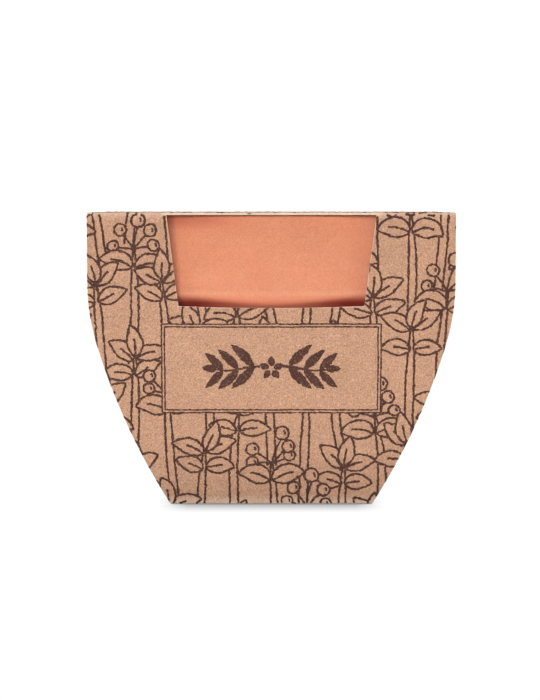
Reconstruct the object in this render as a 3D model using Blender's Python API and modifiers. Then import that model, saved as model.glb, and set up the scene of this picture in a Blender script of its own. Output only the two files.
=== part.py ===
"""A cress growing kit: a clay pot with a soil tablet and a seed sachet, held in a folded card sleeve.

The sleeve is one strip of card. It runs under the pot, up the front, over the top and down the back,
and its two ends are glued together under the pot. The sides are open. The pot's rim stands in a window
of the front panel and in another of the back panel, which lock the pot in place.

The object stands on Z = 0 and its front looks along -Y. Lengths are in metres.
"""

import math

import bmesh
import bpy
from mathutils import Matrix, Vector

MM = 0.001
GAP = 0.3 * MM  # free space between two pieces that touch

# Sleeve, seen from the side
SLEEVE_HEIGHT = 70.0 * MM
TOP_DEPTH = 82.0 * MM
BASE_DEPTH = 61.0 * MM
LEAN = (TOP_DEPTH - BASE_DEPTH) / 2 / SLEEVE_HEIGHT  # of the front and back panels, depth per height
CARD = 0.5 * MM
FOLD_RADIUS = 0.9 * MM  # on the outside of a fold
SEAM_SETBACK = 1.4 * MM  # from the back fold to the cut edge of the bottom panel
GLUE_FLAP = 16.0 * MM

# Sleeve, seen from the front: straight sides, a shoulder arc, then a wider arc down to the base
TOP_WIDTH = 87.0 * MM
SHOULDER_HEIGHT = 53.1 * MM
SHOULDER_RADIUS = 51.8 * MM
SHOULDER_TURN = math.radians(16.4)
FLANK_RADIUS = 155.0 * MM

# Windows, alike in the front and back panels
WINDOW_TOP_WIDTH = 49.5 * MM
WINDOW_SILL_WIDTH = 44.0 * MM
WINDOW_TOP_HEIGHT = 69.4 * MM
WINDOW_SILL_HEIGHT = 47.75 * MM
WINDOW_SILL_SAG = 0.45 * MM
WINDOW_CORNER = 0.6 * MM

# Clay pot
POT_BASE = 2 * CARD + GAP  # it stands on the bottom panel and the glue flap
POT_TOP = 69.0 * MM
RIM_RADIUS = 40.0 * MM
RIM_TOP_RADIUS = 39.6 * MM
RIM_UNDERSIDE = 47.8 * MM
RIM_EDGE = 2.5 * MM  # rounding of the band's lower edge
RIM_LIP = 1.8 * MM  # rounding of the mouth
RIM_INNER_RADIUS = 35.4 * MM
SHOULDER_INNER_HEIGHT = 54.0 * MM
NECK_RADIUS = 36.3 * MM
NECK_INNER_RADIUS = 32.0 * MM
NECK_INNER_HEIGHT = 47.0 * MM
FOOT_RADIUS = 23.5 * MM
FLOOR_INNER_RADIUS = 19.6 * MM
FLOOR = 5.5 * MM
DRAIN_RADIUS = 4.0 * MM

# Compressed soil tablet, on the pot's floor
TABLET_RADIUS = 17.0 * MM
TABLET_HEIGHT = 10.0 * MM
TABLET_EDGE = 1.4 * MM
DIMPLE_RADIUS = 4.5 * MM
DIMPLE_DEPTH = 2.0 * MM

# Seed sachet, standing on the tablet and leaning on the pot's wall
SACHET_WIDTH = 32.0 * MM
SACHET_LENGTH = 44.0 * MM
SACHET_EDGE = 0.8 * MM
SACHET_BELLY = 3.2 * MM
SACHET_LEAN = math.radians(33.0)  # above the horizontal
SACHET_FOOT = 12.0 * MM  # from the pot's axis to the sachet's lower edge
SACHET_TURN = math.radians(25.0)

FILLET_STEPS = 4
OUTLINE_STEPS = 10
TURN_STEPS = 64
BEYOND = 60.0 * MM  # half depth of a cutter, well past the sleeve

CARD_COLOUR = (0.61, 0.36, 0.22)
CLAY_COLOUR = (0.74, 0.30, 0.17)
SOIL_COLOUR = (0.09, 0.05, 0.03)
PAPER_COLOUR = (0.72, 0.66, 0.55)


def clear_scene():
    for obj in list(bpy.data.objects):
        bpy.data.objects.remove(obj, do_unlink=True)


def new_collection(name):
    collection = bpy.data.collections.new(name)
    bpy.context.scene.collection.children.link(collection)
    return collection


def new_material(name, colour, roughness):
    material = bpy.data.materials.new(name)
    material.use_nodes = True
    shader = material.node_tree.nodes["Principled BSDF"]
    shader.inputs["Base Color"].default_value = (*colour, 1.0)
    shader.inputs["Roughness"].default_value = roughness
    shader.inputs["Metallic"].default_value = 0.0
    return material


def fillet(before, corner, after, radius):
    """Points of the arc that rounds a corner between two straight runs."""
    to_before = (before - corner).normalized()
    to_after = (after - corner).normalized()
    half_angle = to_before.angle(to_after) / 2
    setback = radius / math.tan(half_angle)
    centre = corner + (to_before + to_after).normalized() * (radius / math.sin(half_angle))
    start = corner + to_before * setback - centre
    end = corner + to_after * setback - centre
    turn = start.angle_signed(end)
    points = []
    for step in range(FILLET_STEPS + 1):
        arm = start.copy()
        # angle_signed counts clockwise and Matrix.Rotation counts anticlockwise
        arm.rotate(Matrix.Rotation(-turn * step / FILLET_STEPS, 2))
        points.append(centre + arm)
    return points


def rounded_loop(corners):
    """Closed outline through (u, v, radius) corners, each rounded by its own radius."""
    places = [Vector((u, v)) for u, v, _ in corners]
    points = []
    for index, (_, _, radius) in enumerate(corners):
        corner = places[index]
        if radius > 0:
            following = places[(index + 1) % len(places)]
            points += fillet(places[index - 1], corner, following, radius)
        else:
            points.append(corner)
    return points


def mesh_from_curve(curve, name):
    """Welded mesh of a curve, which is then removed."""
    holder = bpy.data.objects.new(name + "_curve", curve)
    bpy.context.scene.collection.objects.link(holder)
    graph = bpy.context.evaluated_depsgraph_get()
    mesh = bpy.data.meshes.new_from_object(holder.evaluated_get(graph))
    mesh.name = name
    bpy.data.objects.remove(holder)
    shape = bmesh.new()
    shape.from_mesh(mesh)
    bmesh.ops.remove_doubles(shape, verts=shape.verts, dist=0.001 * MM)
    bmesh.ops.recalc_face_normals(shape, faces=shape.faces)
    shape.to_mesh(mesh)
    shape.free()
    return mesh


def prism(name, loops, half_depth, collection, material=None):
    """Solid with a flat outline in its own XY plane, holes included, and that depth along its own Z."""
    curve = bpy.data.curves.new(name, "CURVE")
    curve.dimensions = "2D"
    curve.fill_mode = "BOTH"
    curve.extrude = half_depth
    for loop in loops:
        spline = curve.splines.new("POLY")
        spline.points.add(len(loop) - 1)
        for point, place in zip(spline.points, loop):
            point.co = (place.x, place.y, 0.0, 1.0)
        spline.use_cyclic_u = True
    obj = bpy.data.objects.new(name, mesh_from_curve(curve, name))
    if material:
        obj.data.materials.append(material)
    collection.objects.link(obj)
    return obj


def turned(name, outline, collection, material, closed):
    """Solid turned about Z from an outline of (radius, height) points that runs down its outer side."""
    mesh = bpy.data.meshes.new(name)
    count = len(outline)
    edges = [(index, index + 1) for index in range(count - 1)]
    if closed:
        edges.append((count - 1, 0))
    mesh.from_pydata([(point.x, 0.0, point.y) for point in outline], edges, [])
    mesh.materials.append(material)
    obj = bpy.data.objects.new(name, mesh)
    collection.objects.link(obj)
    screw = obj.modifiers.new("turn", "SCREW")
    screw.axis = "Z"
    screw.angle = math.tau
    screw.steps = TURN_STEPS
    screw.render_steps = TURN_STEPS
    screw.use_merge_vertices = not closed
    screw.merge_threshold = 0.001 * MM
    screw.use_smooth_shade = True
    return obj


def boolean(obj, operation, cutter):
    modifier = obj.modifiers.new(cutter.name, "BOOLEAN")
    modifier.operation = operation
    modifier.solver = "EXACT"
    modifier.object = cutter
    cutter.hide_render = True
    cutter.display_type = "WIRE"


def sleeve_outer_loop():
    """The sleeve's outside in side view, as (y, z), with the seam's step at the back of the base."""
    top = TOP_DEPTH / 2
    base = BASE_DEPTH / 2
    back_fold = base + LEAN * CARD  # the back panel ends one card above the base
    seam = base - SEAM_SETBACK
    return rounded_loop(
        [
            (-base, 0.0, FOLD_RADIUS),
            (-top, SLEEVE_HEIGHT, FOLD_RADIUS),
            (top, SLEEVE_HEIGHT, FOLD_RADIUS),
            (back_fold, CARD, FOLD_RADIUS),
            (seam, CARD, 0.0),
            (seam, 0.0, 0.0),
        ]
    )


def half_depth_inside(height):
    """Distance from the middle plane to the inner face of a leaning panel at some height."""
    panel_along_y = CARD * math.hypot(1.0, LEAN)
    return BASE_DEPTH / 2 + LEAN * height - panel_along_y


def sleeve_inner_loop():
    """The sleeve's inside in side view, with the glue flap lying on the bottom panel."""
    inner_top = SLEEVE_HEIGHT - CARD
    flap_end = BASE_DEPTH / 2 - GLUE_FLAP
    bend = FOLD_RADIUS - CARD
    return rounded_loop(
        [
            (-half_depth_inside(CARD), CARD, bend),
            (-half_depth_inside(inner_top), inner_top, bend),
            (half_depth_inside(inner_top), inner_top, bend),
            (half_depth_inside(2 * CARD), 2 * CARD, bend),
            (flap_end, 2 * CARD, 0.0),
            (flap_end, CARD, 0.0),
        ]
    )


def arc_points(centre, radius, start, end, steps):
    """Points on an arc between two angles, without the first."""
    points = []
    for step in range(1, steps + 1):
        angle = start + (end - start) * step / steps
        points.append(centre + radius * Vector((math.cos(angle), math.sin(angle))))
    return points


def sleeve_front_loop():
    """The sleeve's outline in front view, as (x, z). It reaches past the top and the base."""
    half = TOP_WIDTH / 2
    shoulder_centre = Vector((half - SHOULDER_RADIUS, SHOULDER_HEIGHT))
    turned_by = Vector((math.cos(SHOULDER_TURN), -math.sin(SHOULDER_TURN)))
    flank_centre = shoulder_centre + (SHOULDER_RADIUS - FLANK_RADIUS) * turned_by
    base_turn = math.asin(flank_centre.y / FLANK_RADIUS)
    side = [Vector((half, SLEEVE_HEIGHT + CARD)), Vector((half, SHOULDER_HEIGHT))]
    side += arc_points(shoulder_centre, SHOULDER_RADIUS, 0.0, -SHOULDER_TURN, OUTLINE_STEPS)
    side += arc_points(flank_centre, FLANK_RADIUS, -SHOULDER_TURN, -base_turn, OUTLINE_STEPS)
    side.append(Vector((side[-1].x, -CARD)))
    return side + [Vector((-point.x, point.y)) for point in reversed(side)]


def window_loop():
    """A window's outline in front view, with a sill that sags in its middle."""
    head = WINDOW_TOP_WIDTH / 2
    sill = WINDOW_SILL_WIDTH / 2
    third = sill / 3
    low = WINDOW_SILL_HEIGHT - WINDOW_SILL_SAG
    return rounded_loop(
        [
            (head, WINDOW_TOP_HEIGHT, 0.0),
            (-head, WINDOW_TOP_HEIGHT, 0.0),
            (-sill, WINDOW_SILL_HEIGHT, WINDOW_CORNER),
            (-third, low, sill),
            (third, low, sill),
            (sill, WINDOW_SILL_HEIGHT, WINDOW_CORNER),
        ]
    )


def build_sleeve(collection, cutters, material):
    sleeve = prism(
        "sleeve", [sleeve_outer_loop(), sleeve_inner_loop()], BEYOND, collection, material
    )
    # The outline's own X, Y and Z become the world's Y, Z and X
    sleeve.data.transform(Matrix(((0, 0, 1, 0), (1, 0, 0, 0), (0, 1, 0, 0), (0, 0, 0, 1))))
    upright = Matrix.Rotation(math.radians(90.0), 4, "X")
    outline = prism("sleeve_outline", [sleeve_front_loop()], BEYOND, cutters)
    outline.matrix_world = upright
    window = prism("sleeve_windows", [window_loop()], BEYOND, cutters)
    window.matrix_world = upright
    boolean(sleeve, "INTERSECT", outline)
    boolean(sleeve, "DIFFERENCE", window)
    return sleeve


def build_pot(collection, material):
    floor_top = POT_BASE + FLOOR
    outline = rounded_loop(
        [
            (RIM_TOP_RADIUS, POT_TOP, RIM_LIP),
            (RIM_RADIUS, RIM_UNDERSIDE, RIM_EDGE),
            (NECK_RADIUS, RIM_UNDERSIDE, 0.8 * MM),
            (FOOT_RADIUS, POT_BASE, 1.0 * MM),
            (DRAIN_RADIUS, POT_BASE, 0.6 * MM),
            (DRAIN_RADIUS, floor_top, 0.6 * MM),
            (FLOOR_INNER_RADIUS, floor_top, 2.0 * MM),
            (NECK_INNER_RADIUS, NECK_INNER_HEIGHT, 8.0 * MM),
            (RIM_INNER_RADIUS, SHOULDER_INNER_HEIGHT, 8.0 * MM),
            (RIM_INNER_RADIUS, POT_TOP, RIM_LIP),
        ]
    )
    return turned("pot", outline, collection, material, closed=True)


def build_tablet(collection, material):
    base = POT_BASE + FLOOR + GAP
    top = base + TABLET_HEIGHT
    dimple = top - DIMPLE_DEPTH
    rounded = rounded_loop(
        [
            (0.0, dimple, 0.0),
            (DIMPLE_RADIUS, dimple, 1.0 * MM),
            (DIMPLE_RADIUS + DIMPLE_DEPTH, top, 1.0 * MM),
            (TABLET_RADIUS, top, TABLET_EDGE),
            (TABLET_RADIUS, base, TABLET_EDGE),
            (0.0, base, 0.0),
        ]
    )
    return turned("soil_tablet", rounded, collection, material, closed=False)


def pillow_mesh(name):
    """A flat sachet, thin at its sealed edges and thick in its middle, with its lower edge on the X axis."""
    mesh = bpy.data.meshes.new(name)
    shape = bmesh.new()
    bmesh.ops.create_cube(shape, size=2.0)
    across = [edge for edge in shape.edges if edge.verts[0].co.z == edge.verts[1].co.z]
    bmesh.ops.subdivide_edges(shape, edges=across, cuts=9, use_grid_fill=True)
    for vert in shape.verts:
        u, v, side = vert.co
        belly = (1.0 - u * u) * (1.0 - v * v)
        half = (SACHET_EDGE + (SACHET_BELLY - SACHET_EDGE) * belly) / 2
        vert.co = (u * SACHET_WIDTH / 2, (v + 1.0) * SACHET_LENGTH / 2, side * half)
    bmesh.ops.recalc_face_normals(shape, faces=shape.faces)
    shape.to_mesh(mesh)
    shape.free()
    mesh.shade_smooth()
    mesh.set_sharp_from_angle(angle=math.radians(40.0))
    return mesh


def build_sachet(collection, material):
    sachet = bpy.data.objects.new("seed_sachet", pillow_mesh("seed_sachet"))
    sachet.data.materials.append(material)
    collection.objects.link(sachet)
    tablet_top = POT_BASE + FLOOR + GAP + TABLET_HEIGHT
    foot_height = tablet_top + GAP + SACHET_EDGE / 2
    sachet.matrix_world = (
        Matrix.Rotation(SACHET_TURN, 4, "Z")
        @ Matrix.Translation((0.0, -SACHET_FOOT, foot_height))
        @ Matrix.Rotation(SACHET_LEAN, 4, "X")
    )
    return sachet


def main():
    clear_scene()
    kit = new_collection("cress_kit")
    cutters = new_collection("cutters")
    build_sleeve(kit, cutters, new_material("kraft_card", CARD_COLOUR, 0.9))
    build_pot(kit, new_material("clay", CLAY_COLOUR, 0.85))
    build_tablet(kit, new_material("soil", SOIL_COLOUR, 0.95))
    build_sachet(kit, new_material("paper", PAPER_COLOUR, 0.8))


main()
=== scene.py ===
"""Looks of a clay pot seed kit: the printed card sleeve, the clay pot, the soil tablet and the seed sachet.

The sleeve is modelled flat, as the cut strip of card, and then folded by a formula. Its print is drawn on
the same flat strip, so that it runs over the folds and is cut off by the window and the outline.
"""

import itertools
import math

import bpy
import numpy as np
from mathutils import Matrix, Vector


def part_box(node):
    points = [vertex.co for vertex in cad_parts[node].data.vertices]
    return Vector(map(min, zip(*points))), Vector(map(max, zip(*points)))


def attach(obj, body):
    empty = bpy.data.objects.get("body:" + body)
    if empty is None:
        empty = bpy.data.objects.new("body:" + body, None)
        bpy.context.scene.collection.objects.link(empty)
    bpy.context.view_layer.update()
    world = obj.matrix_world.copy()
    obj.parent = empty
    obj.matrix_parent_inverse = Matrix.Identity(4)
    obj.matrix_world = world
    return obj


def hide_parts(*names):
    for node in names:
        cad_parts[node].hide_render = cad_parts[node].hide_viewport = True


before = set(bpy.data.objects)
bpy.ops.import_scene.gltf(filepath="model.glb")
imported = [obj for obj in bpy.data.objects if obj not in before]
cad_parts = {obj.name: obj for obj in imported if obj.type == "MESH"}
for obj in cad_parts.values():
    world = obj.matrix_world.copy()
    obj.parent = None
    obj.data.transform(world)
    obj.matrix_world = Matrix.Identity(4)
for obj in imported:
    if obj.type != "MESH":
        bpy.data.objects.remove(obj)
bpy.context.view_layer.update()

MM = 0.001
SLEEVE_LOW, SLEEVE_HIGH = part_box("sleeve")
POT_LOW, POT_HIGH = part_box("pot")
TABLET_LOW, TABLET_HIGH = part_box("soil_tablet")

# Sleeve, seen from the side
SLEEVE_HEIGHT = SLEEVE_HIGH.z
CORNER_DEPTH = 41.0 * MM  # from the middle plane to the top corners, before rounding
BASE_HALF_DEPTH = 30.5 * MM
SKIN = 0.1 * MM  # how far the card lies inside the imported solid, to leave room for its ink
CARD = 0.5 * MM
FOLD_RADIUS = 0.9 * MM
SEAM_SETBACK = 1.4 * MM
GLUE_FLAP = 16.0 * MM
GLUE = 0.03 * MM
TOP_CORNER = (CORNER_DEPTH - SKIN, SLEEVE_HEIGHT - SKIN)
LEAN = (TOP_CORNER[0] - BASE_HALF_DEPTH) / TOP_CORNER[1]

# Sleeve, seen from the front
TOP_HALF_WIDTH = SLEEVE_HIGH.x
SHOULDER_HEIGHT = 53.1 * MM
SHOULDER_RADIUS = 51.8 * MM
SHOULDER_TURN = math.radians(16.4)
FLANK_RADIUS = 155.0 * MM
WINDOW_TOP = 69.45 * MM
WINDOW_SILL = 47.75 * MM
WINDOW_SAG = 0.45 * MM
WINDOW_TOP_HALF = 24.75 * MM
WINDOW_SILL_HALF = 22.0 * MM

# How the card departs from flat
PANEL_BULGES = ((0.25 * MM, 0.5), (-0.15 * MM, 0.6), (0.25 * MM, 0.5))  # rise, and share lost at the sides
CARD_RIPPLE = 0.05 * MM
RIPPLE_REACH = (0.8 * MM, 4.8 * MM)  # how far from a fold it starts and is full
EDGE_CRUSH = 0.2 * MM  # width of the rounding along a cut edge
EDGE_DROP = 0.09 * MM  # its depth

FOLD_WEAR_AND_HIGHLIGHT = 1.3 * MM  # how far the pale fold mark, partly wear and partly painted highlight, reaches on each side of a fold
BESIDE_WINDOW = 1.5 * MM  # width over which a fold's pale mark fades beside a window
FOLD_PALE_BESIDE = 0.4  # and the share of it that stays there

CELL = 1.5 * MM
FOLD_ROWS = 8
SIDE_CELLS = 13
WINDOW_CELLS = 34
SILL_REACH = 6.0 * MM  # how far from a sill the mesh rows follow its sag
EDGE_ROOM = 0.12 * MM  # no other mesh row lies as close as this to a window's edge

# Print
INK_LIFT = 0.035 * MM
INK_LEVELS = 5
INK_LEVEL_STEP = 0.004 * MM
INK_STEP = 0.26 * MM
BARE_FOLD = 0.6 * MM  # how far the ink has cracked off along the upper folds
BARE_BESIDE = 0.25  # the share of that beside a window
TOP_INK_SHARE = 0.35  # of the lift, on the top panel, where a low view would see its edges
LINE = 0.54 * MM
JAG = 0.34  # how rough a stroke's edges are, as a share of its half width
BRUSH_JAG = 0.42
FRAME_LINE = 0.36 * MM
FRAME_PITCH = 0.68 * MM
LABEL_HALF_WIDTH = 26.0 * MM
LABEL_LOW = 22.3 * MM
LABEL_HIGH = 43.5 * MM
COLUMN_PITCH = 8.2 * MM
ROW_PITCH = 28.0 * MM
SPRIG_SCALE = 1.17
SPRIG_FOOT = -15.0 * MM
SPRIG_WOBBLE = 0.13 * MM
# Height, degrees of spread, length and width, then degrees of spread, stalk and radius, in mm
LEAF_PAIRS = ((5.6, 68, 6.3, 3.3), (9.0, 46, 6.6, 3.4))
BERRIES = ((-70, 3.0, 1.15), (70, 3.0, 1.15), (-34, 4.0, 1.25), (34, 4.0, 1.25), (3, 5.2, 1.4))
GARLAND_HALF_LENGTH = 14.0 * MM
GARLAND_PAIRS = 3
GARLAND_PETALS = 5

# Pot. A ridge is its height, the level of its middle and its half width
BEAD = (0.18 * MM, 50.8 * MM, 0.55 * MM)
GROOVE = (0.16 * MM, 51.8 * MM, 0.5 * MM)
# A highlight painted along the rim band's lower edge
PAINTED_EDGE_HIGHLIGHT = (1.0, 50.9 * MM, 0.55 * MM)
OUTER_WALL = 35.0 * MM  # the inside stays within this radius up to the rim band
RIM_BAND = 38.0 * MM  # and the rim band's outer side lies beyond this one
# Shade painted into the clay, under the rim and at the front window's upper left, as the places where it
# starts and where it is full
UNDER_RIM_TOP = (50.5 * MM, 48.4 * MM)
UNDER_RIM_FOOT = (45.6 * MM, 47.2 * MM)
UNDER_RIM_ASIDE = (0.0, 18.0 * MM)
UNDER_RIM_END = (33.0 * MM, 26.0 * MM)
UNDER_RIM_MIDDLE = 0.45
# A painted shadow patch on the rim band at the front window's upper left
UPPER_PAINTED_SHADE = 0.35
UPPER_PAINTED_SHADE_HEIGHT = (65.3 * MM, 67.5 * MM)
UPPER_PAINTED_SHADE_ASIDE = (-5.0 * MM, -16.0 * MM)

# Seed sachet
SACHET_SIZE = (32.0 * MM, 44.0 * MM)
SACHET_EDGE = 0.8 * MM
SACHET_BELLY = 3.2 * MM
SACHET_FOOT_AHEAD = 12.0 * MM
SACHET_ABOVE_TABLET = 0.3 * MM
SACHET_TURN = math.radians(25.0)
SACHET_LEAN = math.radians(33.0)

# Studio. A light's strength is the share of a white surface's full brightness that it gives, seen square on
DOME = 0.12
SEEN_BACKGROUND = 1.3
FLOOR_GLOW = 1.03
CONTACT_REACH = 20.0 * MM
CONTACT_SIDES = (20.0 * MM, 28.0 * MM)  # where the contact shadow fades out sideways
FILL = 1.34
FILL_COLOUR = (1.0, 0.96, 0.9, 1.0)
FILL_NEAR = (26.0 * MM, 70.0 * MM)  # where the light from below grows, in front and behind
FILL_FAR = (200.0 * MM, 300.0 * MM)  # where it fades out
SOFT_LIGHTS = (  # name, strength, width and height, and degrees round from the front
    ("key", 0.64, (0.4, 0.3), -6),
    ("left", 0.62, (0.6, 0.6), -100),
    ("right", 0.62, (0.6, 0.6), 100),
    ("back", 0.7, (0.6, 0.6), 180),
)
SOFT_LIGHT_DISTANCE = 1.3
SOFT_LIGHT_ELEVATION = math.radians(3.5)
TOP_LIGHT = 0.75
TOP_LIGHT_TILT = math.radians(5.0)
TOP_LIGHT_ANGLE = math.radians(30.0)
CAMERA_PLACE = (-0.33 * MM, -741.0 * MM, 72.0 * MM)
CAMERA_PITCH = math.radians(2.8185)
CAMERA_LENS = 153.06

SRGB_LINEAR_CUT = 0.04045


def linear(*values):
    """Linear colour of an sRGB colour given in 0..255."""
    shares = [value / 255 for value in values]
    return tuple(x / 12.92 if x <= SRGB_LINEAR_CUT else ((x + 0.055) / 1.055) ** 2.4 for x in shares)


KRAFT = linear(192, 149, 121)
KRAFT_PALE = linear(240, 214, 194)
CUT_EDGE = linear(226, 190, 160)
INK = linear(76, 47, 40)
CLAY = linear(226, 154, 119)
# Pale bloom of the clay, also the colour of the highlight painted on the rim band's edge
CLAY_BLOOM_AND_HIGHLIGHT = linear(240, 180, 150)
CLAY_PIT = linear(190, 105, 78)
# Colours of the shade painted under the pot's rim and at the front window's upper left
CLAY_PAINTED_SHADE = linear(190, 76, 58)
CLAY_PAINTED_DEEP_SHADE = linear(105, 28, 22)
SOIL_DARK = linear(52, 33, 22)
SOIL_LIGHT = linear(134, 96, 62)
PAPER = linear(222, 208, 184)


# Noise and profiles


def hashed(cells, seed):
    """Repeatable value in -1..1 for each row of whole numbers."""
    primes = np.array([374761393, 668265263, 1440662683], np.uint64)[: cells.shape[1]]
    mixed = (cells.astype(np.int64).astype(np.uint64) * primes).sum(1) + np.uint64(seed * 2654435761)
    mixed &= np.uint64(0xFFFFFFFF)
    mixed = ((mixed ^ (mixed >> np.uint64(13))) * np.uint64(1274126177)) & np.uint64(0xFFFFFFFF)
    mixed ^= mixed >> np.uint64(16)
    return mixed.astype(float) / 0x7FFFFFFF - 1.0


def smooth_noise(points, cell, seed):
    """Smooth noise in -1..1 at points of two or three coordinates, with features of that size."""
    places = np.asarray(points, float) / cell
    base = np.floor(places)
    part = places - base
    part = part * part * (3 - 2 * part)
    total = np.zeros(len(places))
    for corner in itertools.product((0, 1), repeat=places.shape[1]):
        step = np.array(corner)
        weight = np.where(step == 1, part, 1 - part).prod(1)
        total += weight * hashed(base + step, seed)
    return total


def fade(values, start, full):
    """0 up to the start and 1 from the full place on, which may lie below the start."""
    return np.clip((values - start) / (full - start), 0, 1)


def ridge(levels, height, middle, half_width):
    """A smooth ridge of that height across the levels."""
    return height * np.exp(-(((levels - middle) / half_width) ** 2))


def unit(vector):
    return vector / np.linalg.norm(vector)


def travelled(points):
    """Distance along a line to each of its points."""
    return np.concatenate([[0.0], np.cumsum(np.linalg.norm(np.diff(points, axis=0), axis=1))])


def sideways(line):
    """Unit vectors to the left of a line, at each of its points."""
    direction = np.gradient(line, axis=0)
    direction /= np.linalg.norm(direction, axis=1, keepdims=True) + 1e-12
    return np.stack([-direction[:, 1], direction[:, 0]], 1)


def rounded_loop(corners, steps):
    """Closed outline through (radius, height, rounding) corners, as an array of points."""
    places = [np.array(corner[:2]) for corner in corners]
    points = []
    for index, (_, _, rounding) in enumerate(corners):
        here = places[index]
        if rounding <= 0:
            points.append(here)
            continue
        to_before = unit(places[index - 1] - here)
        to_after = unit(places[(index + 1) % len(places)] - here)
        half_angle = math.acos(np.clip(to_before @ to_after, -1, 1)) / 2
        centre = here + unit(to_before + to_after) * rounding / math.sin(half_angle)
        start = here + to_before * rounding / math.tan(half_angle) - centre
        end = here + to_after * rounding / math.tan(half_angle) - centre
        sweep = math.pi - 2 * half_angle
        for step in range(steps + 1):
            share = step / steps
            arm = (start * math.sin((1 - share) * sweep) + end * math.sin(share * sweep)) / math.sin(sweep)
            points.append(centre + arm)
    return np.array(points)


def refined(points, spacing, closed):
    """The same outline with extra points, so that no stretch is longer than the spacing."""
    out = []
    ends = list(points[1:]) + ([points[0]] if closed else [])
    for start, end in zip(points, ends):
        pieces = max(1, math.ceil(np.linalg.norm(end - start) / spacing))
        out += [start + (end - start) * piece / pieces for piece in range(pieces)]
    if not closed:
        out.append(points[-1])
    return np.array(out)


def cell_points(index, row, column):
    """The four points round one cell of a grid."""
    return index[row, column], index[row, column + 1], index[row + 1, column + 1], index[row + 1, column]


def sheet_faces(keep):
    """Faces of a sheet with two sides, from the grid cells that are in it, and the material slot of each.

    The points of the second side follow those of the first. The cut edges have slot 1.
    """
    rows, columns = np.add(keep.shape, 1)
    count = rows * columns
    index = np.arange(count).reshape(rows, columns)
    kept = np.pad(keep, 1)
    faces = []
    slots = []
    for row, column in zip(*np.nonzero(keep)):
        a, b, c, d = cell_points(index, row, column)
        faces += [(a, b, c, d), (a + count, d + count, c + count, b + count)]
        slots += [0, 0]
        around = (
            (row, column + 1, a, b),
            (row + 1, column + 2, b, c),
            (row + 2, column + 1, c, d),
            (row + 1, column, d, a),
        )
        for near_row, near_column, start, end in around:
            if not kept[near_row, near_column]:
                faces.append((end, start, start + count, end + count))
                slots.append(1)
    return faces, slots


def mesh_object(name, verts, faces, materials, slots=None):
    """Object from points and faces, with the unused points dropped."""
    used = np.unique(np.concatenate([np.asarray(face).ravel() for face in faces]))
    renumber = np.full(len(verts), -1)
    renumber[used] = np.arange(len(used))
    renumbered = [renumber[list(face)].tolist() for face in faces]
    mesh = bpy.data.meshes.new(name)
    mesh.from_pydata(np.asarray(verts)[used].tolist(), [], renumbered)
    for material in materials:
        mesh.materials.append(material)
    if slots is not None:
        mesh.polygons.foreach_set("material_index", np.asarray(slots, np.int32))
    mesh.validate()
    mesh.update()
    obj = bpy.data.objects.new(name, mesh)
    bpy.context.scene.collection.objects.link(obj)
    return obj, used


def smooth(obj, degrees):
    obj.data.shade_smooth()
    obj.data.set_sharp_from_angle(angle=math.radians(degrees))


def add_attribute(obj, name, values):
    attribute = obj.data.attributes.new(name, "FLOAT", "POINT")
    attribute.data.foreach_set("value", np.asarray(values, np.float32))


# The strip of card and how it folds


def strip_path():
    """Side view of the strip's outer face: distance along it, places, outward normals and panel limits."""
    places = np.array([
        (BASE_HALF_DEPTH - SEAM_SETBACK, 0.0),
        (-BASE_HALF_DEPTH, 0.0),
        (-TOP_CORNER[0], TOP_CORNER[1]),
        TOP_CORNER,
        (BASE_HALF_DEPTH + LEAN * (CARD + GLUE), CARD + GLUE),
        (BASE_HALF_DEPTH - GLUE_FLAP, CARD + GLUE),
    ])
    arc_steps = 24
    points = [places[0]]
    normals = [np.array([0.0, -1.0])]
    fold_marks = []
    for index in range(1, len(places) - 1):
        before = unit(places[index] - places[index - 1])
        after = unit(places[index + 1] - places[index])
        # Outside is on the left of the path, and every fold turns right
        normal_before = np.array([-before[1], before[0]])
        turn = math.acos(before @ after)
        start = places[index] - before * FOLD_RADIUS * math.tan(turn / 2)
        centre = start - normal_before * FOLD_RADIUS
        first = len(points)
        for step in range(arc_steps + 1):
            angle = turn * step / arc_steps
            normal = math.cos(angle) * normal_before + math.sin(angle) * before
            points.append(centre + FOLD_RADIUS * normal)
            normals.append(normal)
        fold_marks.append((first, len(points) - 1))
    points.append(places[-1])
    normals.append(np.array([0.0, -1.0]))
    points = np.array(points)
    along = travelled(points)
    folds = [(along[a], along[b]) for a, b in fold_marks]
    return along, points, np.array(normals), folds


ALONG, PATH, PATH_NORMALS, FOLDS = strip_path()
FOLD_MIDDLES = [sum(fold) / 2 for fold in FOLDS]
FRONT_FOLD, TOP_FRONT_FOLD, TOP_BACK_FOLD, BACK_FOLD = FOLD_MIDDLES


def height_at(v):
    return np.interp(v, ALONG, PATH[:, 1])


def front_distance(height):
    """Distance along the strip at which the front panel has that height."""
    panel = (ALONG >= FOLDS[0][0]) & (ALONG <= TOP_FRONT_FOLD)
    return np.interp(height, PATH[panel, 1], ALONG[panel])


def back_distance(height):
    panel = (ALONG >= TOP_BACK_FOLD) & (ALONG <= FOLDS[3][1])
    return np.interp(height, PATH[panel, 1][::-1], ALONG[panel][::-1])


FRONT_WINDOW = (front_distance(WINDOW_SILL), front_distance(WINDOW_TOP))
BACK_WINDOW = (back_distance(WINDOW_TOP), back_distance(WINDOW_SILL))


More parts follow.
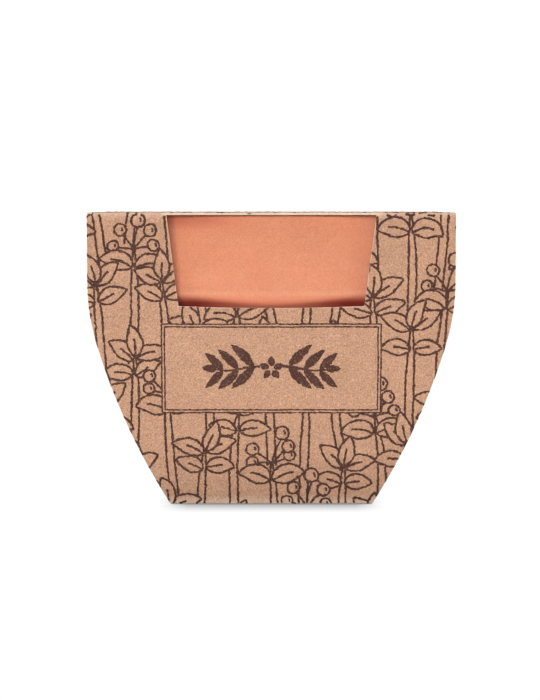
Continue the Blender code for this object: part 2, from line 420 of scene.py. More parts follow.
def half_width(height):
    """Half the strip's width at that height: straight sides, a shoulder arc, then a wider arc."""
    height = np.asarray(height, float)
    first_x = TOP_HALF_WIDTH - SHOULDER_RADIUS
    wider = SHOULDER_RADIUS - FLANK_RADIUS
    second_x = first_x + wider * math.cos(SHOULDER_TURN)
    second_z = SHOULDER_HEIGHT - wider * math.sin(SHOULDER_TURN)
    arc_end = SHOULDER_HEIGHT - SHOULDER_RADIUS * math.sin(SHOULDER_TURN)
    shoulder_drop = np.clip(SHOULDER_HEIGHT - height, 0, SHOULDER_RADIUS)
    shoulder = first_x + np.sqrt(SHOULDER_RADIUS**2 - shoulder_drop**2)
    flank = second_x + np.sqrt(FLANK_RADIUS**2 - (second_z - height) ** 2)
    return np.where(height > arc_end, shoulder, flank)


def window_half_width(height):
    """Half the window's width, carried on below the sill as a share of the strip's width."""
    share = fade(height, WINDOW_SILL, WINDOW_TOP)
    above = WINDOW_SILL_HALF + share * (WINDOW_TOP_HALF - WINDOW_SILL_HALF)
    below = half_width(height) * WINDOW_SILL_HALF / half_width(WINDOW_SILL)
    return np.where(height < WINDOW_SILL, below, above)


def over_window(u, beside):
    """1 over the windows' width, fading to that share beside it."""
    return beside + (1 - beside) * fade(np.abs(u), WINDOW_TOP_HALF + BESIDE_WINDOW, WINDOW_TOP_HALF)


def sill_drop(u):
    """How far the sill sags at a distance from the middle."""
    return WINDOW_SAG * np.clip(1 - (u / WINDOW_SILL_HALF) ** 2, 0, 1)


def panel_bulge(u, v):
    """How far the card stands out of its flat panels, along its normal."""
    edge = u / TOP_HALF_WIDTH
    out = np.zeros_like(v)
    for (_, start), (end, _), (rise, lost) in zip(FOLDS, FOLDS[1:], PANEL_BULGES):
        out += rise * np.sin(math.pi * fade(v, start, end)) * (1 - lost * edge**2)
    off_base = (v > FOLDS[0][1]) & (v < FOLDS[3][0])
    places = np.stack([u, v], 1)
    ripple = smooth_noise(places, 17 * MM, 5) + 0.5 * smooth_noise(places, 6 * MM, 6)
    calm = np.ones_like(v)
    for middle in FOLD_MIDDLES:
        calm *= fade(np.abs(v - middle), *RIPPLE_REACH)
    return out + np.where(off_base, CARD_RIPPLE * ripple * calm, 0)


def folded(u, v, depth):
    """Points of the folded card, at places of the flat strip and a depth below its outer face."""
    u, v, depth = np.broadcast_arrays(*(np.asarray(value, float) for value in (u, v, depth)))
    shape = u.shape
    u, v, depth = u.ravel(), v.ravel(), depth.ravel()
    normal = np.stack([np.interp(v, ALONG, PATH_NORMALS[:, axis]) for axis in (0, 1)], 1)
    normal /= np.linalg.norm(normal, axis=1, keepdims=True)
    out = panel_bulge(u, v) - depth
    y = np.interp(v, ALONG, PATH[:, 0]) + normal[:, 0] * out
    z = np.interp(v, ALONG, PATH[:, 1]) + normal[:, 1] * out
    return np.stack([u, y, z], 1).reshape(*shape, 3)


def strip_rows():
    """Distances of the mesh rows along the strip, with rows on each fold and on the windows' edges."""
    marks = {0.0, ALONG[-1], EDGE_CRUSH, ALONG[-1] - EDGE_CRUSH}
    for start, end in FOLDS:
        marks.update(np.linspace(start, end, FOLD_ROWS + 1))
    edges = FRONT_WINDOW + BACK_WINDOW
    marks = {mark for mark in marks if min(abs(mark - edge) for edge in edges) > EDGE_ROOM}
    for low, high in (FRONT_WINDOW, BACK_WINDOW):
        marks.update([low - EDGE_CRUSH, low, high, high + EDGE_CRUSH])
    return refined(np.array(sorted(marks))[:, None], CELL, closed=False)[:, 0]


def row_places(height):
    """Places of the mesh columns across one row. The window's edges are two of them."""
    half = float(half_width(height))
    window = float(window_half_width(height))
    outer = np.linspace(window + EDGE_CRUSH, half - EDGE_CRUSH, SIDE_CELLS + 1)
    right = np.concatenate([[window], outer, [half]])
    middle = np.linspace(-window, window, WINDOW_CELLS + 1)
    return np.concatenate([-right[::-1], middle[1:-1], right])


def sleeve_grid():
    """Places of the mesh points on the flat strip, and which of the cells between them are card."""
    rows = strip_rows()
    u = np.array([row_places(height) for height in height_at(rows)])
    v = np.repeat(rows[:, None], u.shape[1], 1)
    # Rows near each sill follow its sag
    for sill, direction in ((FRONT_WINDOW[0], -1), (BACK_WINDOW[1], 1)):
        near = fade(np.abs(rows - sill), SILL_REACH, 0.0)
        v = v + direction * near[:, None] * sill_drop(u)
    keep = np.ones((len(rows) - 1, u.shape[1] - 1), bool)
    first = SIDE_CELLS + 2  # the column at the window's left edge
    for low, high in (FRONT_WINDOW, BACK_WINDOW):
        in_window = (rows[:-1] > low - 0.01 * MM) & (rows[1:] < high + 0.01 * MM)
        keep[np.ix_(in_window, range(first, first + WINDOW_CELLS))] = False
    return u, v, keep


def build_sleeve(card, cut_edge):
    """The folded card, with its cut edges pressed round and marked as worn, and its folds marked as pale:
    partly wear, partly painted highlight.
    """
    u, v, keep = sleeve_grid()
    kept = np.pad(keep, 1).astype(int)
    cells = kept[:-1, :-1] + kept[1:, :-1] + kept[:-1, 1:] + kept[1:, 1:]
    border = (cells > 0) & (cells < 4)
    outer = folded(u, v, np.where(border, EDGE_DROP, 0.0))
    inner = folded(u, v, np.where(border, CARD - EDGE_DROP, CARD))
    verts = np.concatenate([outer.reshape(-1, 3), inner.reshape(-1, 3)])
    faces, slots = sheet_faces(keep)
    obj, used = mesh_object("card_sleeve", verts, faces, [card, cut_edge], slots)
    # The folds are pale on the outside only, and most over the windows: partly wear, partly painted highlight
    to_fold = np.min([np.abs(v.ravel() - middle) for middle in FOLD_MIDDLES[:3]], axis=0)
    fold_wear_and_highlight = fade(to_fold, FOLD_WEAR_AND_HIGHLIGHT, 0.0) * over_window(u.ravel(), FOLD_PALE_BESIDE)
    edge_wear = border.ravel().astype(float)
    add_attribute(obj, "fold_wear_and_highlight", np.concatenate([fold_wear_and_highlight, 0 * fold_wear_and_highlight])[used])
    add_attribute(obj, "edge_wear", np.concatenate([edge_wear, edge_wear])[used])
    smooth(obj, 35)
    return obj


# Print


def on_card(u, v):
    """Places pulled back onto the card, and which of them lay in a window or beyond the outline."""
    drop = sill_drop(u)
    half = window_half_width(height_at(v))
    new_u, new_v = u.copy(), v.copy()
    outside = np.zeros(len(u), bool)
    for low, high in ((FRONT_WINDOW[0] - drop, FRONT_WINDOW[1]), (BACK_WINDOW[0], BACK_WINDOW[1] + drop)):
        within = (v > low) & (v < high) & (np.abs(u) < half)
        nearest = np.argmin([half - np.abs(u), v - low, high - v], axis=0)
        new_u = np.where(within & (nearest == 0), np.sign(u) * half, new_u)
        new_v = np.where(within & (nearest == 1), low, new_v)
        new_v = np.where(within & (nearest == 2), high, new_v)
        outside |= within
    half = half_width(height_at(new_v))
    return np.clip(new_u, -half, half), new_v, outside | (np.abs(new_u) > half)


def evenly(points, spacing):
    """The same line with points at even spacing, and the distance along it to each."""
    points = np.asarray(points, float)
    along = travelled(points)
    count = max(2, int(round(along[-1] / spacing)) + 1)
    places = np.linspace(0, along[-1], count)
    return np.stack([np.interp(places, along, points[:, axis]) for axis in (0, 1)], 1), places


def inside(points, outline):
    """Which points lie in a closed outline, by how often it crosses the line to their right."""
    start, end = outline, np.roll(outline, -1, axis=0)
    x, y = points[:, :1], points[:, 1:]
    rise = end[:, 1] - start[:, 1]
    crossed = (start[:, 1] > y) != (end[:, 1] > y)
    place = start[:, 0] + (y - start[:, 1]) * (end[:, 0] - start[:, 0]) / np.where(rise == 0, 1, rise)
    return (crossed & (x < place)).sum(1) % 2 == 1


def worn_away(points):
    """Where the ink has cracked off along the upper folds, most of it over the windows."""
    reach = BARE_FOLD * (0.75 + 0.6 * smooth_noise(points, 1.1 * MM, 71))
    reach *= over_window(points[:, 0], BARE_BESIDE)
    distance = np.minimum(np.abs(points[:, 1] - TOP_FRONT_FOLD), np.abs(points[:, 1] - TOP_BACK_FOLD))
    return distance < reach


class Sheet:
    """A line drawing on the flat strip. What is drawn later hides what lies behind it."""

    def __init__(self, seed, limits):
        self.random = np.random.default_rng(seed)
        self.limits = limits
        self.lines = []
        self.covers = []

    def line(self, points, width=LINE, swell=None, jag=JAG):
        """One ink stroke of that width. swell gives its width at shares of its length instead."""
        spaced, places = evenly(points, INK_STEP)
        if len(spaced) < 3:
            return
        share = places / places[-1]
        halves = np.full(len(spaced), width / 2) if swell is None else swell(share) / 2
        self.lines.append((spaced, halves, jag))

    def cover(self, outline):
        """Hide all that is drawn so far inside a closed outline."""
        self.covers.append((len(self.lines), np.asarray(outline)))

    def shape(self, outline, closed):
        """A shape that hides what lies behind it. An open one has no line back to its first point."""
        self.cover(outline)
        self.line(np.concatenate([outline, outline[:1]]) if closed else outline)

    def hidden(self):
        """For each point of the lines, one after another, whether something drawn later hides it."""
        points = np.concatenate([spaced for spaced, _, _ in self.lines])
        order = np.concatenate([np.full(len(line[0]), index) for index, line in enumerate(self.lines)])
        out = np.zeros(len(points), bool)
        for drawn_before, outline in self.covers:
            low, high = outline.min(0), outline.max(0)
            near = (order < drawn_before) & ~out & (points > low).all(1) & (points < high).all(1)
            out[near] = inside(points[near], outline)
        return out

    def build(self, name, ink):
        """Thin ink mesh just above the card."""
        hidden = self.hidden()
        verts = []
        faces = []
        first = 0
        count = 0
        for number, (line, halves, jag) in enumerate(self.lines):
            across = sideways(line)
            rough = self.random.normal(0, jag, (2, len(line)))
            rough = 0.6 * rough + 0.4 * np.roll(rough, 1, axis=1)
            jitter = np.minimum(halves, LINE / 2) * rough
            left = line + across * (halves + jitter[0])[:, None]
            right = line - across * (halves + jitter[1])[:, None]
            band = np.stack([left, line, right], 1)
            shown = ~hidden[first : first + len(line)]
            first += len(line)
            shown &= (line[:, 1] > self.limits[0]) & (line[:, 1] < self.limits[1])
            shown &= ~worn_away(line)
            u, v, outside = on_card(band[..., 0].ravel(), band[..., 1].ravel())
            outside = outside.reshape(-1, 3)
            lift = INK_LIFT + INK_LEVEL_STEP * (number % INK_LEVELS)
            on_top = (v > FOLDS[1][1]) & (v < FOLDS[2][0])
            verts.append(folded(u, v, -np.where(on_top, TOP_INK_SHARE * lift, lift)))
            for row in np.nonzero(shown[:-1] & shown[1:])[0]:
                for side in (0, 1):
                    if not outside[row : row + 2, side : side + 2].all():
                        a = count + 3 * row + side
                        faces.append((a, a + 1, a + 4, a + 3))
            count += len(u)
        obj, _ = mesh_object(name, np.concatenate(verts), faces, [ink])
        obj.data.shade_smooth()
        return obj


def turned(points, angle):
    """Points turned clockwise from straight up by an angle."""
    cos, sin = math.cos(angle), math.sin(angle)
    points = np.asarray(points, float)
    return np.stack([points[:, 0] * cos + points[:, 1] * sin, -points[:, 0] * sin + points[:, 1] * cos], 1)


def curved_line(base, angle, length, curl, steps=22):
    """A line that leaves its base at an angle from straight up and turns by curl on its way."""
    heading = angle + curl * np.linspace(0, 1, steps)
    stride = length / (steps - 1)
    moves = np.stack([np.sin(heading), np.cos(heading)], 1) * stride
    return base + np.concatenate([[[0.0, 0.0]], np.cumsum(moves[:-1], axis=0)])


def band_outline(line, halves):
    """Closed outline of a band of that half-width along a line."""
    across = sideways(line) * halves[:, None]
    return np.concatenate([line + across, (line - across)[::-1]])


def leaf(base, angle, length, width, curl, rib=0.62):
    """A pointed leaf with a midrib, as its closed outline and the lines on it."""
    spine = curved_line(base, angle, length, curl)
    share = np.linspace(0, 1, len(spine))
    halves = width / 2 * np.sin(math.pi * share**0.8) ** 0.85
    ribbed = spine[: max(3, int(rib * len(spine)))]
    return band_outline(spine, halves), [ribbed]


def berry(base, angle, stalk, radius):
    """A round berry on a stalk, as its closed outline and the lines on it."""
    twig = curved_line(base, angle, stalk, 0.35 * math.copysign(1, angle), 8)
    turn = np.linspace(0, math.tau, 24, endpoint=False)
    centre = twig[-1] + radius * np.array([math.sin(angle), math.cos(angle)])
    ring = centre + radius * np.stack([np.sin(turn), np.cos(turn)], 1)
    glint = centre + 0.45 * radius * np.stack([np.sin(turn[2:9]), np.cos(turn[2:9])], 1)
    return ring, [twig, glint]


def stem(high, gap, random):
    """A slightly bent stem that closes at its top, as its outline from foot to foot, with no lines on it."""
    bend = random.normal(0, 0.5) * MM
    share = np.linspace(0, 1, 20)
    middle = np.stack([bend * np.sin(math.pi * share), SPRIG_FOOT + share * (high - SPRIG_FOOT)], 1)
    return band_outline(middle, gap / 2 * (1 - 0.9 * share**5)), []


def leafy_sprig(random):
    """A stem, and then two pairs of curved leaves and a leaf at its tip, in the sprig's own frame."""
    shapes = [stem(10.0 * MM, 1.7 * MM, random)]
    for height, spread, length, width in LEAF_PAIRS:
        for side in (-1, 1):
            angle = math.radians(side * (spread + random.normal(0, 9)))
            curl = side * math.radians(random.normal(34, 12))
            base = np.array([side * 0.3, height + random.normal(0, 0.3)]) * MM
            shapes.append(leaf(base, angle, length * MM * random.uniform(0.88, 1.1), width * MM, curl))
    tip = math.radians(random.normal(0, 12))
    curl = math.radians(random.normal(0, 22))
    shapes.append(leaf(np.array([0.0, 9.6]) * MM, tip, 6.6 * MM, 3.2 * MM, curl))
    return shapes


def berry_sprig(random):
    """A stem, and then five berries and a pair of broad drooping leaves, in the sprig's own frame."""
    shapes = [stem(9.0 * MM, 1.6 * MM, random)]
    for spread, stalk, radius in BERRIES:
        angle = math.radians(spread + random.normal(0, 6))
        base = np.array([0.0, 8.6]) * MM
        shapes.append(berry(base, angle, stalk * MM * random.uniform(0.9, 1.1), radius * MM))
    for side in (-1, 1):
        angle = math.radians(side * (50 + random.normal(0, 8)))
        curl = side * math.radians(random.normal(62, 14))
        base = np.array([side * 0.3, 5.0]) * MM
        shapes.append(leaf(base, angle, 7.0 * MM, 4.0 * MM, curl, rib=0.7))
    return shapes


def draw_pattern(sheet, start, end, upward):
    """A thicket of upright sprigs between two places along the strip, each column at its own height."""
    random = sheet.random
    sign = 1 if upward else -1

    def grown(points):
        points = SPRIG_SCALE * turned(points, tilt) + (across, height)
        wobble = [smooth_noise(points, 2.2 * MM, seed) for seed in (61, 62)]
        return sign * (points + SPRIG_WOBBLE * np.stack(wobble, 1)) + (0, start)

    columns = math.ceil(TOP_HALF_WIDTH / COLUMN_PITCH) + 1
    rows = math.ceil(abs(end - start) / ROW_PITCH) + 1
    sprigs = []
    for column in range(-columns, columns + 1):
        drop = (0.5 * (column % 2) + 0.13 * math.sin(1.9 * column)) % 1.0
        for row in range(-1, rows + 1):
            height = (row + drop) * ROW_PITCH + random.normal(0, 0.5) * MM
            across = column * COLUMN_PITCH + random.normal(0, 0.3) * MM
            sprigs.append((height, across, (column + row) % 3 == 0))
    # The lower ones stand in front
    for height, across, has_berries in sorted(sprigs, reverse=True):
        tilt = math.radians(random.normal(0, 3))
        shapes = (berry_sprig if has_berries else leafy_sprig)(random)
        for number, (outline, marks) in enumerate(shapes):
            # The first is the stem, which is open at its foot
            sheet.shape(grown(outline), closed=number > 0)
            for mark in marks:
                sheet.line(grown(mark))


def rectangle(left, right, low, high):
    return np.array([(left, low), (right, low), (right, high), (left, high)])


def draw_label(sheet, low, high):
    """The plain label with two thin lines round it."""
    sheet.cover(rectangle(-LABEL_HALF_WIDTH, LABEL_HALF_WIDTH, low, high))
    for inset in (0.0, FRAME_PITCH):
        corners = rectangle(inset - LABEL_HALF_WIDTH, LABEL_HALF_WIDTH - inset, low + inset, high - inset)
        for start, end in zip(corners, np.roll(corners, -1, axis=0)):
            line, _ = evenly([start, end], 1.0 * MM)
            for axis in (0, 1):
                line[:, axis] += 0.07 * MM * smooth_noise(line, 5 * MM, 40 + axis)
            sheet.line(line, FRAME_LINE)


def brush_leaf(width):
    """Width of a solid leaf at shares of its length."""
    return lambda share: 0.1 * MM + width * np.sin(math.pi * np.clip(share, 0, 1) ** 0.85) ** 0.8


def draw_garland(sheet, middle, upward):
    """A level vine with solid brushed leaves, the same to the left and right of a small flower."""
    sign = 1 if upward else -1
    place = np.array([0.0, middle])

    def brushed(points, swell):
        sheet.line(points * (1, sign) + place, swell=swell, jag=BRUSH_JAG)

    for side in (-1, 1):
        share = np.linspace(0.19, 0.92, 30)
        wave = 0.5 * MM * np.sin(2 * math.pi * share)
        vine = np.stack([side * share * GARLAND_HALF_LENGTH, wave], 1)
        brushed(vine, lambda part: 0.7 * MM - 0.2 * MM * part)
        for number in range(GARLAND_PAIRS):
            at = 0.3 + 0.26 * number
            root = np.array([side * at * GARLAND_HALF_LENGTH, np.interp(at, share, wave)])
            for above in (-1, 1):
                length = (7.6 - 0.8 * number) * MM
                angle = math.radians(side * (90 - above * 52))
                curl = math.radians(side * above * 16)
                brushed(curved_line(root, angle, length, curl), brush_leaf((2.2 - 0.15 * number) * MM))
        brushed(curved_line(vine[-1], math.radians(side * 84), 3.6 * MM, 0.1), brush_leaf(1.7 * MM))
    for number in range(GARLAND_PETALS):
        angle = math.tau * number / GARLAND_PETALS
        root = 0.55 * MM * np.array([math.sin(angle), math.cos(angle)])
        brushed(curved_line(root, angle, 2.4 * MM, 0.0, 12), brush_leaf(1.6 * MM))


def build_print(name, seed, fold, distance, upward, ink):
    """The drawing from a base fold to the top's back fold. distance is that of the label's panel."""
    sheet = Sheet(seed, sorted((fold, TOP_BACK_FOLD)))
    draw_pattern(sheet, fold, TOP_BACK_FOLD, upward)
    low, high = sorted((distance(LABEL_LOW), distance(LABEL_HIGH)))
    draw_label(sheet, low, high)
    draw_garland(sheet, (low + high) / 2, upward)
    return sheet.build(name, ink)


# Clay pot


def turned_points(radius, height, angle):
    """Points of a turned grid, one row after another."""
    return np.stack([radius * np.cos(angle), radius * np.sin(angle), height], 2).reshape(-1, 3)


def revolved(name, profile, turns, material, relief, closed):
    """Turned piece from (radius, height) points that run down its outer side.

    relief gives the points' changed radius and height.
    """
    angle = np.arange(turns) * math.tau / turns
    radius = np.repeat(profile[:, :1], turns, 1)
    height = np.repeat(profile[:, 1:], turns, 1)
    radius, height = relief(radius, height, angle)
    index = np.arange(radius.size).reshape(radius.shape)
    cells = np.pad(index, ((0, int(closed)), (0, 1)), "wrap")
    faces = []
    for row, column in np.ndindex(len(cells) - 1, turns):
        a, b, c, d = cell_points(cells, row, column)
        faces.append((a, d, c, b))
    if not closed:
        faces += [tuple(index[0]), tuple(index[-1][::-1])]
    obj, _ = mesh_object(name, turned_points(radius, height, angle), faces, [material])
    smooth(obj, 45)
    return obj


def pot_profile():
    floor_top = POT_LOW.z + 5.5 * MM
    corners = [
        (39.6 * MM, POT_HIGH.z, 0.6 * MM),
        (40.0 * MM, 49.9 * MM, 1.5 * MM),
        (35.7 * MM, 47.45 * MM, 0.8 * MM),
        (23.5 * MM, POT_LOW.z, 1.0 * MM),
        (4.0 * MM, POT_LOW.z, 0.6 * MM),
        (4.0 * MM, floor_top, 0.6 * MM),
        (19.6 * MM, floor_top, 2.0 * MM),
        (32.0 * MM, 47.0 * MM, 8.0 * MM),
        (35.4 * MM, 54.0 * MM, 8.0 * MM),
        (35.4 * MM, POT_HIGH.z, 1.8 * MM),
    ]
    return refined(rounded_loop(corners, 7), 0.9 * MM, closed=True)


def pot_relief(radius, height, angle):
    """A bead above the rim band's lower edge, and the slight unevenness of pressed clay."""
    edge = ridge(height, *BEAD) - ridge(height, *GROOVE)
    places = turned_points(radius, height, angle)
    uneven = 0.05 * MM * smooth_noise(places, 14 * MM, 21) + 0.018 * MM * smooth_noise(places, 3.5 * MM, 22)
    rings = 0.012 * MM * smooth_noise(np.stack([height.ravel(), 0 * height.ravel()], 1), 0.8 * MM, 23)
    change = np.where(radius > RIM_BAND, edge, 0) + (uneven + rings).reshape(radius.shape)
    return radius + change, height


def build_pot(clay):
    """The pot, marked where shade is painted into its clay, under the rim and at the front window's upper
    left, and where a highlight is painted along the band's lower edge.
    """
    pot = revolved("clay_pot", pot_profile(), 220, clay, pot_relief, closed=True)
    x, y, z = np.array([vertex.co for vertex in pot.data.vertices]).T
    radius = np.hypot(x, y)
    outside = radius > OUTER_WALL
    # Painted shade under the rim all round, full where the windows' lower corners show it
    corner = fade(np.abs(x), *UNDER_RIM_ASIDE) ** 2 * fade(np.abs(x), *UNDER_RIM_END)
    under_rim = fade(z, *UNDER_RIM_TOP) * fade(z, *UNDER_RIM_FOOT)
    under_rim *= UNDER_RIM_MIDDLE + (1 - UNDER_RIM_MIDDLE) * corner
    # Painted shadow patch at the front window's upper left, on the rim band's front
    upper_shade = UPPER_PAINTED_SHADE * fade(z, *UPPER_PAINTED_SHADE_HEIGHT) * fade(x, *UPPER_PAINTED_SHADE_ASIDE)
    upper_shade *= (y < 0) & (radius > RIM_BAND)
    add_attribute(pot, "painted_shade", np.where(outside, np.maximum(under_rim, upper_shade), 0.0))
    # Painted highlight along the band's lower edge
    add_attribute(pot, "painted_highlight", np.where(outside, ridge(z, *PAINTED_EDGE_HIGHLIGHT), 0.0))
    return pot


# Soil tablet


def build_tablet(fibre):
    top, low = TABLET_HIGH.z, TABLET_LOW.z
    reach = TABLET_HIGH.x
    dimple = top - 2.0 * MM
    corners = [
        (0.3 * MM, dimple, 0.0),
        (4.5 * MM, dimple, 1.0 * MM),
        (6.5 * MM, top, 1.0 * MM),
        (reach, top, 1.4 * MM),
        (reach, low, 1.4 * MM),
        (0.3 * MM, low, 0.0),
    ]
    profile = refined(rounded_loop(corners, 6), 0.45 * MM, closed=False)

    def relief(radius, height, angle):
        places = turned_points(radius, height, angle)
        strands = np.abs(smooth_noise(places * (1, 0.35, 1), 1.1 * MM, 31))
        rough = strands + 0.6 * np.abs(smooth_noise(places, 0.6 * MM, 32))
        drop = (0.22 * MM * rough).reshape(radius.shape)
        inward = np.clip(radius - drop, 0.1 * MM, None)
        return inward, np.where(height > (top + low) / 2, height - drop, height)

    return revolved("fibre_tablet", profile, 170, fibre, relief, closed=False)


# Seed sachet


def build_sachet(paper):
    """A flat pillow with crimped ends and the bumps of seeds, leaning in the pot."""
    width, length = SACHET_SIZE
    across, down = 60, 82
    s = np.linspace(-1, 1, across + 1)[None, :].repeat(down + 1, 0)
    t = np.linspace(-1, 1, down + 1)[:, None].repeat(across + 1, 1)
    pillow = (1 - s**2) * (1 - t**2)
    places = np.stack([s.ravel() * width / 2, t.ravel() * length / 2], 1)
    seeds = np.clip(smooth_noise(places, 2.6 * MM, 51), 0, 1).reshape(s.shape) * 0.35 * MM * pillow
    seal = fade(np.abs(t), 0.86, 0.96)
    crimp = 0.09 * MM * seal * np.sin(t * length / 2 / (0.9 * MM) * math.tau)
    crease = 0.12 * MM * (1 - pillow) * smooth_noise(places * (1, 0.4), 2.2 * MM, 52).reshape(s.shape)
    half = (SACHET_EDGE + (SACHET_BELLY - SACHET_EDGE) * pillow) / 2
    top = half + seeds * 0.6 + crimp + crease - 0.05 * MM
    bottom = -half + crimp + crease + 0.05 * MM
    x, y = s * width / 2, (t + 1) * length / 2
    upper = np.stack([x, y, top], 2).reshape(-1, 3)
    lower = np.stack([x, y, np.minimum(bottom, top - 0.25 * MM)], 2).reshape(-1, 3)
    faces, _ = sheet_faces(np.ones((down, across), bool))
    obj, _ = mesh_object("paper_sachet", np.concatenate([upper, lower]), faces, [paper])
    foot = TABLET_HIGH.z + SACHET_ABOVE_TABLET + SACHET_EDGE / 2
    place = (
        Matrix.Rotation(SACHET_TURN, 4, "Z")
        @ Matrix.Translation((0.0, -SACHET_FOOT_AHEAD, foot))
        @ Matrix.Rotation(SACHET_LEAN, 4, "X")
    )
    obj.data.transform(place)
    smooth(obj, 50)
    return obj


# Materials


def add(tree, kind, sockets=None, **settings):
    """A node with its settings and inputs. An input is a value, or another node's output socket."""
    node = tree.nodes.new("ShaderNode" + kind)
    for key, value in settings.items():
        setattr(node, key, value)
    for key, value in (sockets or {}).items():
        if isinstance(value, bpy.types.NodeSocket):
            tree.links.new(value, node.inputs[key])
        else:
            node.inputs[key].default_value = value
    return node


def new_material(name, roughness, specular):
    material = bpy.data.materials.new(name)
    material.use_nodes = True
    tree = material.node_tree
    shader = tree.nodes["Principled BSDF"]
    shader.inputs["Roughness"].default_value = roughness
    shader.inputs["Specular IOR Level"].default_value = specular
    return material, tree, shader


def place_node(tree, stretch=(1, 1, 1)):
    coordinates = add(tree, "TexCoord").outputs["Object"]
    if stretch == (1, 1, 1):
        return coordinates
    return add(tree, "Mapping", {"Vector": coordinates, "Scale": stretch}).outputs["Vector"]


def grain(tree, size, detail=2.0, rough=0.6, stretch=(1, 1, 1)):
    """Noise with features of that size."""
    sockets = {"Vector": place_node(tree, stretch), "Scale": 1 / size, "Detail": detail, "Roughness": rough}
    return add(tree, "TexNoise", sockets).outputs["Fac"]


def scaled(tree, value, low, high, from_low=0.3, from_high=0.7):
    """A 0..1 value carried to another range."""
    sockets = {"Value": value, "From Min": from_low, "From Max": from_high, "To Min": low, "To Max": high}
    return add(tree, "MapRange", sockets).outputs["Result"]


def calculated(tree, operation, *values):
    return add(tree, "Math", dict(enumerate(values)), operation=operation).outputs[0]


def times(tree, first, *others):
    for other in others:
        first = calculated(tree, "MULTIPLY", first, other)
    return first


def marked(tree, name):
    """The share that a mesh attribute gives."""
    return add(tree, "Attribute", attribute_name=name).outputs["Fac"]


def tinted(tree, colour, strength):
    """A colour made lighter or darker by a strength."""
    return add(tree, "VectorMath", {0: colour, "Scale": strength}, operation="SCALE").outputs[0]


def mixed(tree, share, *colours):
    """The first colour carried towards the second by a share."""
    first, second = (c if isinstance(c, bpy.types.NodeSocket) else (*c, 1.0) for c in colours)
    return add(tree, "Mix", {0: share, 6: first, 7: second}, data_type="RGBA").outputs[2]


def dress(tree, shader, colour, height, strength, distance):
    """Give a shader its colour, and bumps from a height."""
    tree.links.new(colour, shader.inputs["Base Color"])
    node = add(tree, "Bump", {"Height": height, "Strength": strength, "Distance": distance})
    tree.links.new(node.outputs["Normal"], shader.inputs["Normal"])


def kraft_material():
    """Speckled brown card, paler along worn cut edges, and along folds, where the paleness is partly wear and
    partly painted highlight.
    """
    material, tree, shader = new_material("kraft_card", 0.9, 0.12)
    fine = grain(tree, 0.3 * MM, 2.0, 0.7)
    fibre = grain(tree, 0.7 * MM, 2.0, 0.6, stretch=(0.4, 1.0, 0.8))
    cloud = grain(tree, 7.0 * MM, 3.0, 0.6)
    strength = times(
        tree, scaled(tree, fine, 0.58, 1.42), scaled(tree, fibre, 0.96, 1.04), scaled(tree, cloud, 0.95, 1.05)
    )
    cooler = (KRAFT[0] * 0.99, KRAFT[1], KRAFT[2] * 1.035)
    hue = mixed(tree, scaled(tree, grain(tree, 2.5 * MM), 0, 1), KRAFT, cooler)
    shade = tinted(tree, hue, strength)
    broken = scaled(tree, grain(tree, 0.8 * MM, 3.0), 0.5, 1.1)
    # Pale folds: partly wear, partly painted highlight
    shade = mixed(tree, times(tree, marked(tree, "fold_wear_and_highlight"), broken), shade, KRAFT_PALE)
    shade = mixed(tree, times(tree, marked(tree, "edge_wear"), 0.75), shade, KRAFT_PALE)
    dress(tree, shader, shade, fine, 0.35, 0.06 * MM)
    return material


def cut_edge_material():
    material, tree, shader = new_material("card_cut_edge", 0.95, 0.2)
    layers = grain(tree, 0.12 * MM, 3.0, 0.7, stretch=(0.3, 1.0, 1.0))
    shade = tinted(tree, CUT_EDGE, scaled(tree, layers, 0.75, 1.15))
    dress(tree, shader, shade, layers, 0.5, 0.05 * MM)
    return material


def ink_material():
    """Matt ink that sinks into the card, with card fibres showing through."""
    material, tree, shader = new_material("brown_ink", 0.8, 0.25)
    fine = grain(tree, 0.3 * MM, 2.0, 0.7)
    bare = scaled(tree, grain(tree, 0.36 * MM, 2.0, 0.7), 0.0, 0.5, 0.55, 0.74)
    patchy = scaled(tree, grain(tree, 3.0 * MM, 2.0), 0.85, 1.2)
    shade = tinted(tree, INK, times(tree, scaled(tree, fine, 0.6, 1.4), patchy))
    shade = mixed(tree, bare, shade, KRAFT)
    dress(tree, shader, shade, fine, 0.3, 0.05 * MM)
    return material


